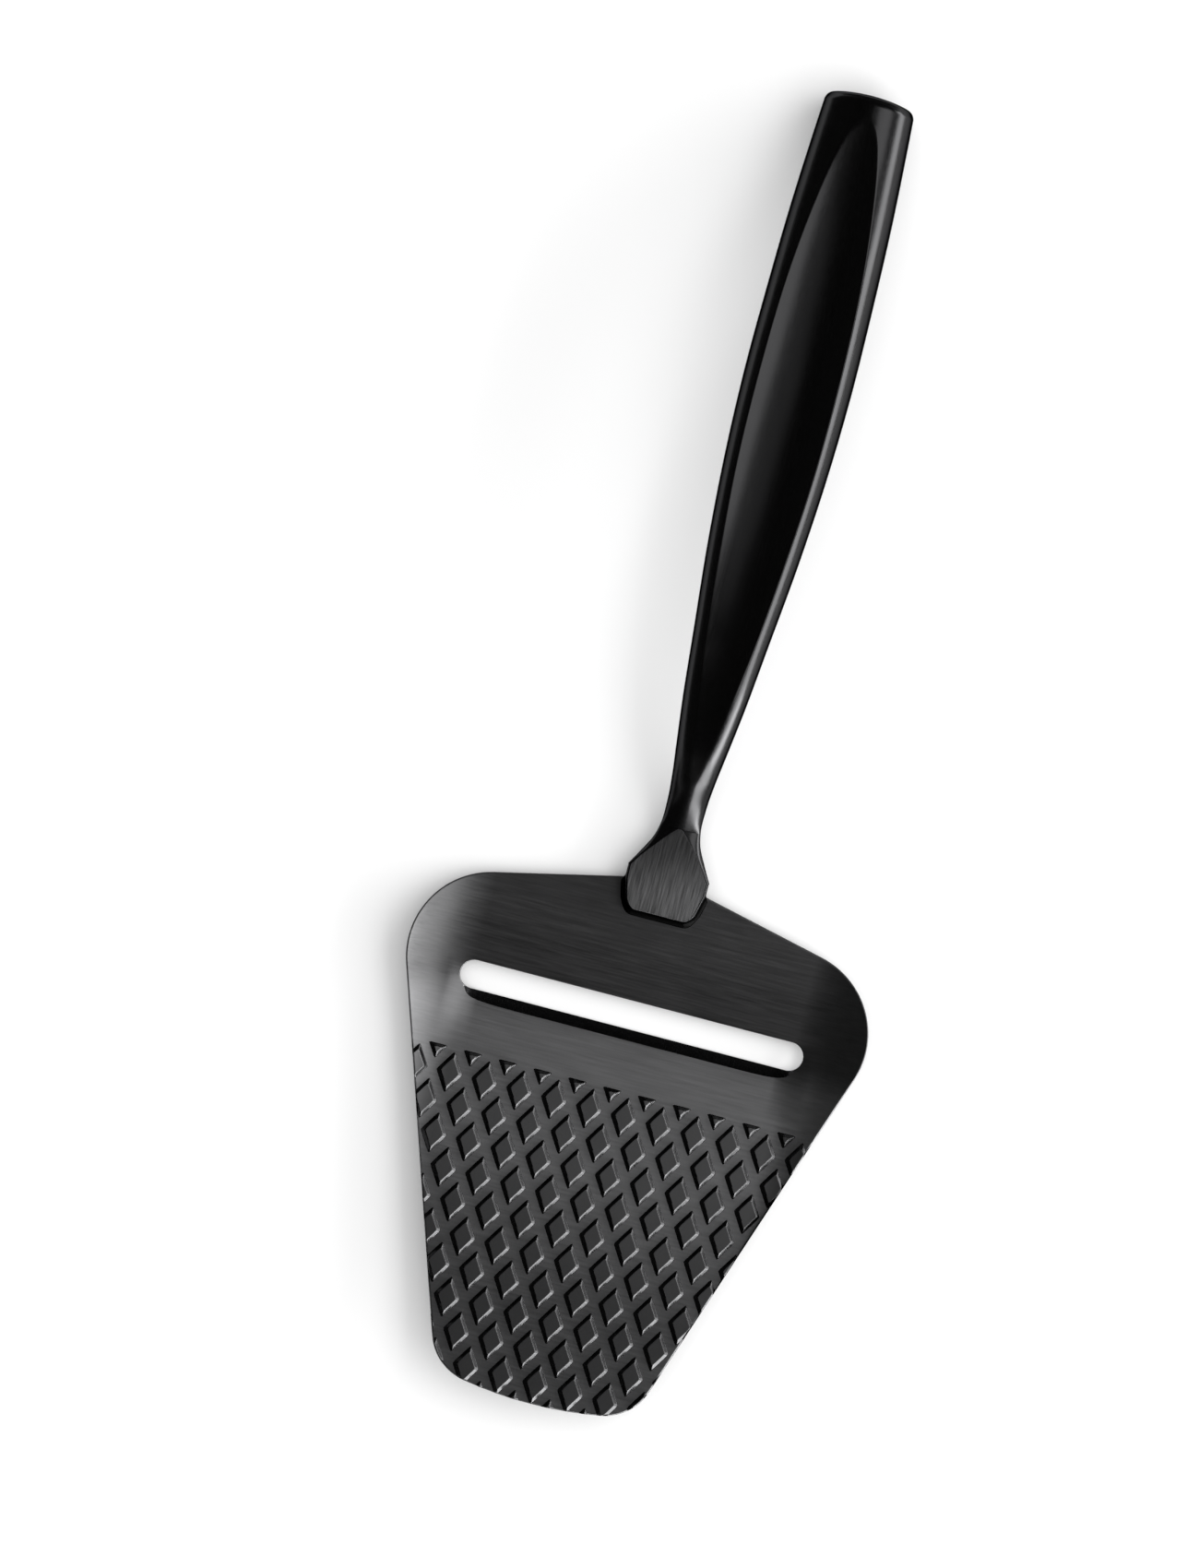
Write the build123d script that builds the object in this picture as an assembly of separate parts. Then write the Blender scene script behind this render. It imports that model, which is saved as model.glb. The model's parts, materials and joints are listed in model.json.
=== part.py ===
from build123d import *
import math
import os

# A cheese slicer of black coated stainless steel, in millimetres.
# While it is drawn, Z = 0 is the plate's upper face under the handle's foot, the slot's
# centre line is Y = 0 and the handle runs toward +Y. Distances "behind" the slot are
# toward the handle, distances "ahead" of it toward the tip. At the end all pieces are
# turned together into the pose in which the slicer lies on a table, with +Z up.

# The plate's sheet and its outline in plan
sheet_thickness = 1.2
plate_width = 80.0
widest_behind_slot = 3.6
rear_corner_radius = 14.4
rear_point_behind_slot = 24.2
tip_ahead_of_slot = 68.0
tip_bow_radius = 70.0
tip_corner_radius = 9.0
tip_corner_spacing = 21.0

# The wings on both sides curl up from a flat middle
flat_middle_width = 56.0
curl_radius = 22.0
curl_max_angle = 38.0

# The shallow valley along the slot, and the lip that is pressed down deeper in it
valley_behind_slot = 9.5
valley_ahead_of_slot = 12.8
valley_line_ahead = 1.2
valley_drop = 0.8
lip_drop = 1.1
lip_end_blend = 6.0
tip_rise = 1.6

# The slot and the cutting bevel that is ground on the lip
slot_length = 60.0
slot_width = 4.9
bevel_run = 1.9
bevel_end_inset = 1.2
cutting_edge_land = 0.1

# The raised diamond pads on the tongue
pad_width = 4.5
pad_length = 7.1
pad_height = 0.5
pad_shoulder = 0.4
pad_pitch_across = 6.1
pad_pitch_along = 10.55
first_pad_row_inset = 4.3
pad_root_depth = 0.4

# The foot that is welded on the plate
foot_thickness = 2.6
foot_width = 14.0
foot_front_width = 11.6
foot_front_behind_slot = 17.2
foot_shoulder_behind_slot = 22.6
foot_corner_radius = 2.2
foot_edge_round = 0.35
grinding_runout_angle = 50.0
weld_nugget_diameter = 3.6
weld_nugget_depth = 0.6
weld_nugget_spacing = 6.4
weld_nugget_inset = 3.1

# The neck and the hollow handle, from the foot's widest line to the handle's end
handle_run = 135.6
handle_width = 18.6
handle_depth = 11.4
handle_rise = 18.0
handle_widest_behind_slot = 24.9
neck_length = 19.5
shell_wall = 1.0
scoop_depth = 3.0
scoop_radius = 20.0
end_dome_radius = 28.0
end_edge_round = 1.0
tang_length = 16.0
tang_clearance = 0.1

# Every cut runs past the metal by this much
overrun = 2.0

# How finely curled sheet and swept outlines are divided
curl_steps = 6
tongue_steps = 4
section_points = 20

# Stations of the neck and handle: how far along the handle's run, then the width, the
# height of the section's centre, its depth and the scoop's depth below the crown, each
# as a share of the handle's own width, rise, depth and scoop depth, then the squareness
# of the section: 2 is an ellipse, and more is closer to a rectangle.
handle_station_shares = [
    (0.000, 0.764, 0.072, 0.263, -0.400, 6.0),
    (0.021, 0.591, 0.080, 0.275, -0.400, 4.0),
    (0.041, 0.441, 0.082, 0.255, -0.400, 2.8),
    (0.059, 0.376, 0.083, 0.246, -0.350, 2.2),
    (0.086, 0.366, 0.189, 0.491, -0.220, 2.0),
    (0.119, 0.400, 0.400, 0.544, 0.000, 2.0),
    (0.156, 0.467, 0.583, 0.596, 0.090, 2.0),
    (0.215, 0.573, 0.772, 0.667, 0.236, 2.0),
    (0.303, 0.699, 0.905, 0.754, 0.514, 2.0),
    (0.406, 0.844, 0.980, 0.840, 0.744, 2.0),
    (0.517, 0.952, 1.000, 0.930, 0.963, 2.0),
    (0.633, 1.000, 0.975, 0.990, 1.000, 2.0),
    (0.738, 0.984, 0.905, 1.000, 0.909, 2.0),
    (0.849, 0.941, 0.785, 0.965, 0.564, 2.0),
    (0.937, 0.876, 0.650, 0.900, 0.182, 2.0),
    (1.015, 0.806, 0.520, 0.820, -0.300, 2.0),
]


def cut_range(value, low, high):
    return max(low, min(high, value))


# The sheet's shape

def curl_slope_run(x):
    return cut_range(abs(x) - flat_middle_width / 2, 0, curl_radius * math.sin(math.radians(curl_max_angle)))


def curl_rise(x):
    # an arc that leaves the flat middle, and a straight flank past the largest angle
    arc_run = curl_slope_run(x)
    arc_rise = curl_radius - math.sqrt(curl_radius**2 - arc_run**2)
    straight_run = max(abs(x) - flat_middle_width / 2 - arc_run, 0)
    return arc_rise + straight_run * curl_slope(x)


def curl_slope(x):
    arc_run = curl_slope_run(x)
    return arc_run / math.sqrt(curl_radius**2 - arc_run**2)


def valley_share(y, start_behind):
    # one at the valley's line, falling to zero behind it and at the lattice ahead of it
    if y > -valley_line_ahead:
        return cut_range((start_behind - y) / (start_behind + valley_line_ahead), 0, 1)
    return cut_range((y + valley_ahead_of_slot) / (valley_ahead_of_slot - valley_line_ahead), 0, 1)


def lip_share(x):
    # one along the slot, falling to zero just past the slot's ends
    lip_end = slot_length / 2 + lip_end_blend / 3
    return cut_range((lip_end - abs(x)) / lip_end_blend, 0, 1)


def tongue_rise(y):
    run_share = cut_range((-valley_ahead_of_slot - y) / (tip_ahead_of_slot - valley_ahead_of_slot), 0, 1)
    return tip_rise * run_share**2


def sheet_top(x, y):
    lip = lip_drop * lip_share(x) * valley_share(y, slot_width / 2)
    return curl_rise(x) + tongue_rise(y) - valley_drop * valley_share(y, valley_behind_slot) - lip


def sheet_section(x):
    # one closed slice through the sheet, as thick as the sheet square to the curl
    tongue_length = tip_ahead_of_slot - valley_ahead_of_slot
    tongue = [-valley_ahead_of_slot - tongue_length * i / tongue_steps for i in range(1, tongue_steps + 1)]
    rear = [rear_point_behind_slot + overrun, valley_behind_slot, slot_width / 2]
    stations = rear + [-valley_line_ahead, -valley_ahead_of_slot] + tongue + [-tip_ahead_of_slot - overrun]
    drop = sheet_thickness * math.hypot(1, curl_slope(x))
    top = [(x, y, sheet_top(x, y)) for y in stations]
    bottom = [(x, y, z - drop) for x, y, z in reversed(top)]
    return Wire.make_polygon(top + bottom, close=True)


def sheet_stations():
    half = plate_width / 2 + overrun
    lip_end = slot_length / 2 + lip_end_blend / 3
    curl_start = flat_middle_width / 2
    curl = [curl_start + (half - curl_start) * i / curl_steps for i in range(curl_steps + 1)]
    right = sorted(set(curl + [lip_end - lip_end_blend, lip_end]))
    return [-x for x in reversed(right)] + right


# The plate's outline in plan

def tangent_points(centre_a, radius_a, centre_b, radius_b):
    # where the outer tangent of two circles touches each, on the side away from the axis
    run = centre_b - centre_a
    angle = math.atan2(run.Y, run.X) + math.acos((radius_a - radius_b) / run.length)
    out = Vector(math.cos(angle), math.sin(angle))
    return centre_a + out * radius_a, centre_b + out * radius_b


def plate_outline():
    rear_point = Vector(0, rear_point_behind_slot)
    rear_corner = Vector(plate_width / 2 - rear_corner_radius, widest_behind_slot)
    bow_centre_y = tip_bow_radius - tip_ahead_of_slot
    inner_reach = tip_bow_radius - tip_corner_radius
    tip_corner_drop = math.sqrt(inner_reach**2 - (tip_corner_spacing / 2) ** 2)
    tip_corner = Vector(tip_corner_spacing / 2, bow_centre_y - tip_corner_drop)
    rear_touch = tangent_points(rear_point, 0, rear_corner, rear_corner_radius)[1]
    side_rear, side_tip = tangent_points(rear_corner, rear_corner_radius, tip_corner, tip_corner_radius)
    bow_out = (tip_corner - Vector(0, bow_centre_y)).normalized()
    bow_touch = tip_corner + bow_out * tip_corner_radius
    corner_out = (side_tip - tip_corner).normalized() + bow_out
    rear_out = (rear_touch - rear_corner).normalized() + (side_rear - rear_corner).normalized()
    half = [
        Line(rear_point, rear_touch),
        ThreePointArc(rear_touch, rear_corner + rear_out.normalized() * rear_corner_radius, side_rear),
        Line(side_rear, side_tip),
        ThreePointArc(side_tip, tip_corner + corner_out.normalized() * tip_corner_radius, bow_touch),
    ]
    mirrored = [edge.mirror(Plane.YZ) for edge in half]
    bow = ThreePointArc(bow_touch, (0, -tip_ahead_of_slot), (-bow_touch.X, bow_touch.Y))
    return make_face(Wire(half + [bow] + mirrored))


def outline_prism(face):
    height = curl_radius + plate_width
    return extrude(face, amount=height, both=True)


# The slot, the bevel and the pads

def slot_cutter():
    return outline_prism(SlotOverall(slot_length, slot_width).face())


def bevel_cutter():
    # the slot's own shape, driven through the lip along the ground bevel's slope
    edge_y = -slot_width / 2
    edge_z = sheet_top(0, edge_y) - sheet_thickness + cutting_edge_land
    bevel_rise = sheet_top(0, edge_y - bevel_run) - edge_z
    slope = Vector(0, -bevel_run, bevel_rise)
    # it starts a quarter of the way below the edge, where it meets no other metal
    start_share = 0.25
    reach_share = 1.6
    start = Vector(0, 0, edge_z) - slope * start_share
    profile = SlotOverall(slot_length - 2 * bevel_end_inset, slot_width).face().moved(Location(start))
    return extrude(profile, amount=slope.length * (start_share + reach_share), dir=slope.normalized())


def pad_places():
    # diamonds in two interleaved sets of columns, each set half a pitch from the other
    lattice_edge = -valley_ahead_of_slot
    first_row = lattice_edge - first_pad_row_inset
    columns = math.ceil(plate_width / pad_pitch_across)
    half_rows = math.ceil(2 * tip_ahead_of_slot / pad_pitch_along)
    places = []
    for half_row in range(-1, half_rows):
        y = first_row - half_row * pad_pitch_along / 2
        shift_share = 0.5 if half_row % 2 == 0 else 0
        for column in range(-columns, columns):
            places.append(((column + shift_share) * pad_pitch_across, y))
    return places


def half_width_at(y):
    # how far the plate's straight side lies from the axis, taken from its two corners
    rear_half = plate_width / 2
    tip_half = tip_corner_spacing / 2 + tip_corner_radius
    run_share = (widest_behind_slot - y) / (widest_behind_slot + tip_ahead_of_slot - tip_corner_radius)
    return rear_half + (tip_half - rear_half) * run_share


def pad(x, y):
    # a diamond with sloping shoulders, turned to lie on the sheet where it stands
    def diamond(grow, height):
        half_w = pad_width / 2 + grow
        half_l = pad_length / 2 + grow * pad_length / pad_width
        corners = [(half_w, 0, height), (0, half_l, height), (-half_w, 0, height), (0, -half_l, height)]
        return Wire.make_polygon(corners, close=True)

    side = math.copysign(1, x)
    tilt_across = -side * math.degrees(math.atan(curl_slope(x)))
    rise = sheet_top(x, y + pad_length / 2) - sheet_top(x, y - pad_length / 2)
    tilt_along = math.degrees(math.atan(rise / pad_length))
    root_grow = pad_shoulder * pad_root_depth / pad_height
    body = Solid.make_loft([diamond(root_grow, -pad_root_depth), diamond(-pad_shoulder, pad_height)], True)
    seat = Pos(x, y, sheet_top(x, y)) * Rot(0, tilt_across, 0) * Rot(tilt_along, 0, 0)
    return body.moved(seat)


def pads(outline):
    inside = [
        (x, y)
        for x, y in pad_places()
        if abs(x) < half_width_at(y) + pad_width / 2 and y > -tip_ahead_of_slot - pad_length / 2
    ]
    lattice_box = Box(
        plate_width, tip_ahead_of_slot, plate_width, align=(Align.CENTER, Align.MAX, Align.CENTER)
    ).moved(Location((0, -valley_ahead_of_slot, 0)))
    region = outline_prism(outline) & lattice_box
    return [piece & region for piece in (pad(x, y) for x, y in inside)]


def weld_nuggets(depth_up, depth_down):
    # the round spots where foot and plate are welded together
    y = foot_front_behind_slot + weld_nugget_inset
    spots = []
    for side in (-1, 1):
        spot = Cylinder(
            weld_nugget_diameter / 2, depth_up + depth_down, align=(Align.CENTER, Align.CENTER, Align.MIN)
        )
        spots.append(spot.moved(Location((side * weld_nugget_spacing / 2, y, -depth_down))))
    return spots


def blade_plate():
    outline = plate_outline()
    sheet = Solid.make_loft([sheet_section(x) for x in sheet_stations()], True)
    sheet = sheet & outline_prism(outline)
    sheet = sheet + [p for p in pads(outline) if p and p.volume > 0]
    sheet = sheet - slot_cutter() - bevel_cutter()
    for spot in weld_nuggets(overrun, weld_nugget_depth):
        sheet = sheet - spot
    return sheet


# The neck and the handle

def station_sizes(shares):
    along, width, height, depth, scoop, squareness = shares
    return (
        handle_widest_behind_slot + along * handle_run,
        width * handle_width / 2,
        height * handle_rise,
        depth * handle_depth / 2,
        scoop * scoop_depth,
        squareness,
    )


STATIONS = [station_sizes(shares) for shares in handle_station_shares]
# the neck's first sections are squarish, and the handle's are all ellipses
HANDLE_STATIONS = STATIONS[4:]


def closed_section(y, half_width, centre, half_depth, squareness):
    # a closed slice whose start lies off the seam, at an eighth of a turn
    points = []
    for i in range(section_points):
        turn = 2 * math.pi * (i + section_points / 8) / section_points
        across = math.copysign(abs(math.cos(turn)) ** (2 / squareness), math.cos(turn))
        up = math.copysign(abs(math.sin(turn)) ** (2 / squareness), math.sin(turn))
        points.append((half_width * across, y, centre + half_depth * up))
    return Wire([Spline(points, periodic=True)])


def closed_form(stations, inset):
    wires = []
    for y, half_width, centre, half_depth, scoop, squareness in stations:
        wires.append(closed_section(y, half_width - inset, centre, half_depth - inset, squareness))
    return Solid.make_loft(wires)


def half_form(stations, upper):
    # the upper or lower half of the handle's outer form, closed by the seam's surface
    start, end = (0, 180) if upper else (180, 360)
    wires = []
    for y, half_width, centre, half_depth, scoop, squareness in stations:
        plane = section_plane(y, centre)
        arch = Edge.make_ellipse(half_width, half_depth, plane, start, end)
        wires.append(Wire([arch, Edge.make_line(arch @ 1, arch @ 0)]))
    return Solid.make_loft(wires)


def section_plane(y, height):
    return Plane(origin=(0, y, height), x_dir=(1, 0, 0), z_dir=(0, -1, 0))


def scoop_cutter(grow):
    # a round tool whose lowest line dips below the crown between the scoop's two tips
    wires = []
    for y, half_width, centre, half_depth, scoop, squareness in STATIONS:
        plane = section_plane(y, centre + half_depth - scoop + scoop_radius)
        wires.append(Wire([Edge.make_circle(scoop_radius + grow, plane)]))
    return Solid.make_loft(wires)


def handle_end():
    return handle_widest_behind_slot + handle_run


def joint_line():
    return handle_widest_behind_slot + neck_length


def slab(y_from, y_to):
    # everything between two planes square to the handle
    wide = handle_width + overrun
    tall = 2 * (handle_rise + handle_depth + scoop_radius)
    return Box(wide, y_to - y_from, tall).moved(Location((0, (y_from + y_to) / 2, 0)))


def domed_end_cutter():
    # what lies outside the shallow dome of the handle's end
    last_centre = STATIONS[-2][2]
    dome = Sphere(end_dome_radius).moved(Location((0, handle_end() - end_dome_radius, last_centre)))
    start = handle_end() - handle_depth
    return slab(start, handle_end() + handle_depth) - dome


def cavity(clearance):
    return closed_form(HANDLE_STATIONS, shell_wall + clearance) - scoop_cutter(shell_wall + clearance)


def handle_shell(upper):
    outer = half_form(HANDLE_STATIONS, upper) & slab(joint_line(), handle_end() + handle_depth)
    outer = outer - domed_end_cutter()
    rim = outer.faces().sort_by(Axis.Y)[-1].edges().filter_by(GeomType.LINE, reverse=True)
    outer = fillet(rim, end_edge_round)
    if upper:
        outer = outer - scoop_cutter(0)
    hollow = cavity(0) & slab(joint_line() - overrun, handle_end() - 2 * shell_wall)
    return outer - hollow


def foot_block():
    half = foot_width / 2
    front = foot_front_width / 2
    corners = [
        (-front, foot_front_behind_slot),
        (front, foot_front_behind_slot),
        (half, foot_shoulder_behind_slot),
        (half, handle_widest_behind_slot),
        (-half, handle_widest_behind_slot),
        (-half, foot_shoulder_behind_slot),
    ]
    block = extrude(make_face(Polyline(corners, close=True)), amount=foot_thickness)
    uprights = block.edges().filter_by(Axis.Z).sort_by(Axis.Y)
    block = fillet(uprights[:2], foot_corner_radius)
    rim = block.faces().sort_by(Axis.Z)[-1].edges().sort_by(Axis.Y)[:-1]
    return fillet(rim, foot_edge_round)


def grinding_cutter():
    # the flat ground on the foot, which runs out steeply where the neck starts to rise
    y_start = foot_front_behind_slot - overrun
    y_runout = STATIONS[3][0]
    roof = handle_rise + handle_depth
    run = (roof - foot_thickness) / math.tan(math.radians(grinding_runout_angle))
    outline = [
        (0, y_start, foot_thickness),
        (0, y_runout, foot_thickness),
        (0, y_runout + run, roof),
        (0, y_start, roof),
    ]
    return extrude(make_face(Polyline(outline, close=True)), amount=handle_width, both=True, dir=(1, 0, 0))


def neck_and_foot():
    neck = closed_form(STATIONS, 0) & slab(handle_widest_behind_slot, joint_line())
    neck = neck - scoop_cutter(0)
    under = slab(handle_widest_behind_slot - overrun, STATIONS[2][0])
    neck = neck - under.moved(Location((0, 0, -(handle_rise + handle_depth + scoop_radius))))
    tang = cavity(tang_clearance) & slab(joint_line() - shell_wall, joint_line() + tang_length)
    body = neck + foot_block() + tang - grinding_cutter()
    for spot in weld_nuggets(weld_nugget_depth, overrun):
        body = body - spot
    return body


# The pose on a table: the lip's edge and the handle's end touch it

def underside_at(y):
    # the height of the handle's underside between the two stations on both sides of y
    for near, far in zip(HANDLE_STATIONS, HANDLE_STATIONS[1:]):
        if near[0] <= y <= far[0]:
            run_share = (y - near[0]) / (far[0] - near[0])
            near_low, far_low = near[2] - near[3], far[2] - far[3]
            return near_low + (far_low - near_low) * run_share
    raise ValueError("no handle there")


def rest_pose(pieces):
    edge_y = -slot_width / 2
    edge_z = sheet_top(0, edge_y) - sheet_thickness
    end_y = handle_end() - 2 * end_edge_round
    end_z = underside_at(end_y)
    tilt = math.degrees(math.atan2(end_z - edge_z, end_y - edge_y))
    turned = Compound([p.moved(Location((0, 0, 0), (-tilt, 0, 0))) for p in pieces])
    box = turned.bounding_box()
    middle_y = (box.min.Y + box.max.Y) / 2
    return Location((0, -middle_y, -box.min.Z)) * Location((0, 0, 0), (-tilt, 0, 0))


pieces = {
    "blade_plate": blade_plate(),
    "neck_and_foot": neck_and_foot(),
    "handle_upper_shell": handle_shell(True),
    "handle_lower_shell": handle_shell(False),
    "weld_nuggets": Compound(weld_nuggets(weld_nugget_depth, weld_nugget_depth)),
}
pose = rest_pose(pieces.values())
os.makedirs("parts", exist_ok=True)
for name, piece in pieces.items():
    export_step(piece.moved(pose), f"parts/{name}.step")
    print(name, round(piece.volume, 1))
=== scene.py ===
# %% [markdown]
# A black coated cheese slicer, dressed for its picture. The bare steel shapes come
# from the construction model, already in place and in metres. This lesson adds what
# makes them look real: a pressed blade with soft bends and crisp diamonds, a thin dark
# coating over brushed steel, a studio with a few soft panels, and the camera.

# %% Load the construction model
import json
import math

import bpy
import numpy as np
from mathutils import Matrix, Vector
from mathutils.geometry import delaunay_2d_cdt


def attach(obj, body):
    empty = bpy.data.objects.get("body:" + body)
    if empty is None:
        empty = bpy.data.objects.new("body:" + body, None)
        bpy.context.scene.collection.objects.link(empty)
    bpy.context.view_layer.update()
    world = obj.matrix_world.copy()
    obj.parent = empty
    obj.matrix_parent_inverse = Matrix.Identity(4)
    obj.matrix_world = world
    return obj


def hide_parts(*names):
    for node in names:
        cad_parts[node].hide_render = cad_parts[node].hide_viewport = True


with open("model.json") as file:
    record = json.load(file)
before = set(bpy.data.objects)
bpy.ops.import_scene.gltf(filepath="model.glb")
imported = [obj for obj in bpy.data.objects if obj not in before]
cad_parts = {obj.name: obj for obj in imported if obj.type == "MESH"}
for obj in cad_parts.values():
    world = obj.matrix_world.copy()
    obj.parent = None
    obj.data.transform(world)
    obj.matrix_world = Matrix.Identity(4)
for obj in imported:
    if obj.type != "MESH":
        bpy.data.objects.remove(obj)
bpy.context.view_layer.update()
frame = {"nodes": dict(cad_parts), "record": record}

print("nodes:", sorted(frame["nodes"]))

# %% [markdown]
# The blade was drawn flat and then laid down with the handle, so the whole slicer leans
# by about three degrees. In the blade's own flat frame every formula stays simple: x runs
# across, y from the tip toward the handle with zero in the middle of the slot, z up from
# the blade's upper face. The lean is read from the mount under the blade.

# %% From the flat drawing to the table
MM = 0.001
sole = frame["record"]["mounts"][0]["axis"]
LEAN_SIN, LEAN_COS = -sole[1], -sole[2]
# where the drawing's zero lies on the table, in millimetres
DRAWING_SHIFT = (-46.5188, 2.94558)


def turn_to_table(x, y, z):
    # directions only: the lean without the shift
    return x, y * LEAN_COS + z * LEAN_SIN, z * LEAN_COS - y * LEAN_SIN


def on_table(x, y, z):
    x, y, z = turn_to_table(x, y, z)
    return x * MM, (y + DRAWING_SHIFT[0]) * MM, (z + DRAWING_SHIFT[1]) * MM


def placed(name, data):
    made = bpy.data.objects.new(name, data)
    bpy.context.scene.collection.objects.link(made)
    return made


print("lean in degrees:", round(math.degrees(math.asin(LEAN_SIN)), 3))

# %% [markdown]
# The blade is one sheet of steel: wings curled up on both sides, a shallow valley
# along the slot, a lip that is pressed down deeper and ground to a cutting edge. A
# sheet like this is a height for each place in plan, so plain functions of x and y
# describe all of it. Subdivision would soften the cutting edge and the diamonds.

# %% The sheet's sizes, as in the construction model
SHEET_THICKNESS = 1.2
FLAT_HALF_WIDTH = 28.0
CURL_RADIUS = 22.0
VALLEY_BEHIND, VALLEY_AHEAD, VALLEY_LINE = 9.5, 12.8, 1.2
VALLEY_DROP, LIP_DROP = 0.8, 1.1
SLOT_LENGTH, SLOT_WIDTH = 60.0, 4.9
LIP_END, LIP_BLEND = 32.0, 6.0
TIP_AHEAD, TIP_RISE = 68.0, 1.6
BEND_SOFTNESS = 0.12


def ease(share):
    share = np.clip(share, 0, 1)
    return share * share * (3 - 2 * share)


def soft_ramp(share):
    # zero, then straight up, with a soft bend where it starts
    soft = (share + BEND_SOFTNESS) ** 2 / (4 * BEND_SOFTNESS)
    return np.where(share < -BEND_SOFTNESS, 0, np.where(share < BEND_SOFTNESS, soft, share))


def soft_least(a, b, softness):
    # the lower of two heights, rounded where they cross
    mix = np.clip(0.5 + 0.5 * (b - a) / softness, 0, 1)
    return b * (1 - mix) + a * mix - softness * mix * (1 - mix)


def valley(y, starts_behind):
    behind = (starts_behind - y) / (starts_behind + VALLEY_LINE)
    ahead = (y + VALLEY_AHEAD) / (VALLEY_AHEAD - VALLEY_LINE)
    return soft_ramp(soft_least(behind, ahead, BEND_SOFTNESS))


def past_flat(x):
    return np.maximum(np.abs(x) - FLAT_HALF_WIDTH, 0)


def curl(x):
    return CURL_RADIUS - np.sqrt(CURL_RADIUS**2 - past_flat(x) ** 2)


def curl_slope(x):
    run = past_flat(x)
    return run / np.sqrt(CURL_RADIUS**2 - run**2)


def bent_sheet(x, y):
    lip = LIP_DROP * ease((LIP_END - np.abs(x)) / LIP_BLEND) * valley(y, SLOT_WIDTH / 2)
    tongue = TIP_RISE * np.clip((-VALLEY_AHEAD - y) / (TIP_AHEAD - VALLEY_AHEAD), 0, 1) ** 2
    return curl(x) + tongue - VALLEY_DROP * valley(y, VALLEY_BEHIND) - lip


print("depth of the lip:", round(float(-bent_sheet(0.0, -SLOT_WIDTH / 2)), 2), "mm")

# %% [markdown]
# A ground bevel turns the lip into a knife. The grinding wheel leaves a flat slope
# that narrows to nothing in a crescent at both ends. In the height function it is
# the lower of two surfaces: the bent sheet, or the slope of the bevel.

# %% The bevel on the lip
BEVEL_RUN, BEVEL_END_INSET, EDGE_LAND = 1.9, 1.2, 0.1
# a high power keeps the bevel wide almost to its ends
CRESCENT_POWER, LEAST_WIDTH = 14, 0.05
# a height or a distance that is never the least
FAR = 1e3
SLOT_RADIUS = SLOT_WIDTH / 2
BEVEL_HALF = SLOT_LENGTH / 2 - BEVEL_END_INSET


def cutting_edge(x):
    past = np.clip(np.abs(x) - (SLOT_LENGTH / 2 - SLOT_RADIUS), 0, SLOT_RADIUS)
    return -np.sqrt(SLOT_RADIUS**2 - past**2)


def bevel_width(x):
    share = np.clip(np.abs(x) / BEVEL_HALF, 0, 1)
    return BEVEL_RUN * np.sqrt(1 - share**CRESCENT_POWER)


def bevel_line(x):
    return cutting_edge(x) - bevel_width(x)


def bevel_slope(x, y):
    front, width = cutting_edge(x), bevel_width(x)
    drop = (SHEET_THICKNESS - EDGE_LAND) * width / BEVEL_RUN
    high = bent_sheet(x, front - width)
    low = bent_sheet(x, front) - drop
    slope = high + (low - high) * (y - front + width) / np.maximum(width, LEAST_WIDTH)
    return np.where((np.abs(x) < BEVEL_HALF) & (y < 0), slope, FAR)


print("bevel meets the sheet at y =", round(float(bevel_line(np.zeros(1))[0]), 2))

# %% [markdown]
# Slices slide over raised diamonds that are pressed into the tongue. A distance that is
# zero on a diamond's outline, and less inside it, gives them all: as it falls, the height
# climbs a straight wall between two soft folds. Rounding the folds of that distance rounds
# the diamond's corners.

# %% The diamonds
PAD_WIDTH, PAD_LENGTH, PAD_HEIGHT = 4.5, 7.1, 0.5
PITCH_ACROSS, PITCH_ALONG, FIRST_ROW, COLUMNS_EACH_SIDE = 6.1, 10.55, 4.3, 8
CORNER_SOFTNESS, CUT_SOFTNESS = 0.12, 0.1
# how far a wall reaches out of the diamond's outline and into it, how much wider it is
# on the soft side, over how many millimetres that fades, and the share of each fold
SHOULDER_OUT, SHOULDER_IN, SOFT_SIDE, SOFT_FADE, FOLD = 0.08, 0.56, 0.12, 1.2, 0.18
SIDE_LENGTH = math.hypot(PAD_WIDTH / 2, PAD_LENGTH / 2)


def pad_places():
    # the row before the first is cut off by the edge of the valley
    rows = math.ceil(2 * TIP_AHEAD / PITCH_ALONG)
    columns = range(-COLUMNS_EACH_SIDE, COLUMNS_EACH_SIDE)
    places = []
    for row in range(-1, rows):
        y = -VALLEY_AHEAD - FIRST_ROW - row * PITCH_ALONG / 2
        shift = 0.5 if row % 2 == 0 else 0.0
        places += [((column + shift) * PITCH_ACROSS, y) for column in columns]
    return places


def pad_distance(x, y, place):
    across = np.sqrt((x - place[0]) ** 2 + CORNER_SOFTNESS**2)
    along = np.sqrt((y - place[1]) ** 2 + CORNER_SOFTNESS**2)
    reach = across * PAD_LENGTH / 2 + along * PAD_WIDTH / 2 - PAD_WIDTH * PAD_LENGTH / 4
    cut = y + VALLEY_AHEAD + SHOULDER_OUT
    return -soft_least(-reach / SIDE_LENGTH, -cut, CUT_SOFTNESS)


def wall_ramp(share):
    # a straight wall between two rounded folds
    t = np.clip(share, 0, 1)
    end = np.minimum(t, 1 - t)
    bend = np.where(end < FOLD, end**2 / (2 * FOLD), end - FOLD / 2) / (1 - FOLD)
    return np.where(t < 0.5, bend, 1 - bend)


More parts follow.
